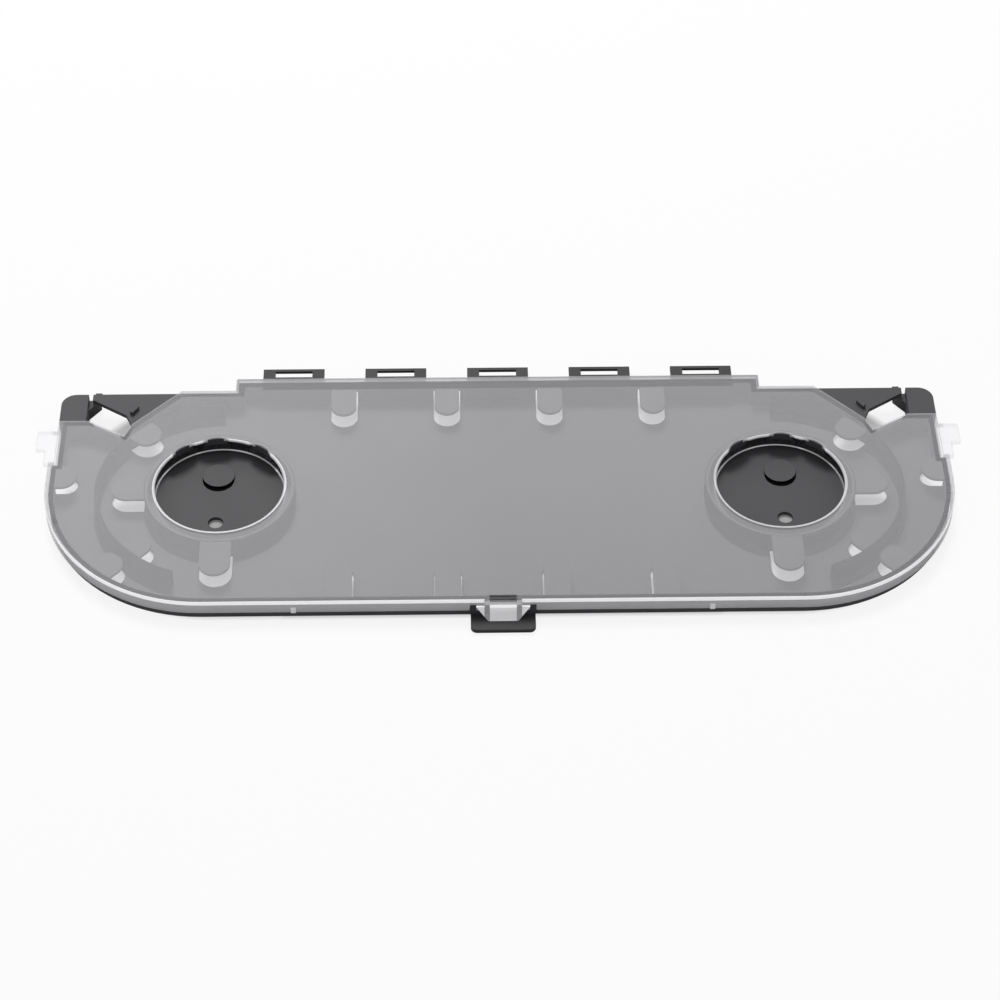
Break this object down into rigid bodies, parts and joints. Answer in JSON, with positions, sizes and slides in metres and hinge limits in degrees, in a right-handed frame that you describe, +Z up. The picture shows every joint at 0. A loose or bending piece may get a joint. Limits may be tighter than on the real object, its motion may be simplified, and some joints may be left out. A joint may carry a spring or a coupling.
{
  "type": "fibre splice tray",
  "caption": "Flat fibre splice tray: black moulded base with two coiling drums, fibre tabs, hooked corner ports, slotted rear lugs, and a clear clipped cover that lifts off.",
  "frame": {"origin": "on the flat underside, half way between the two drum centres", "axes": "+X along the tray towards the right drum, +Y from the latch side to the side with the slotted lugs, +Z up out of the tray"},
  "size_m": [0.3086, 0.1173, 0.0083],
  "materials": {
    "base_plastic": "fine matt moulded black",
    "cover_plastic": "clear, slightly milky, glossy at the rims"
  },
  "bodies": {
    "base": {"tray_base": "base_plastic"},
    "lid": {"cover": "cover_plastic"}
  },
  "joints": [
    {"name": "cover_lift", "type": "slide", "parent": "base", "child": "lid", "axis": [0, 0, 1], "range_m": [0, 0.03]}
  ]
}
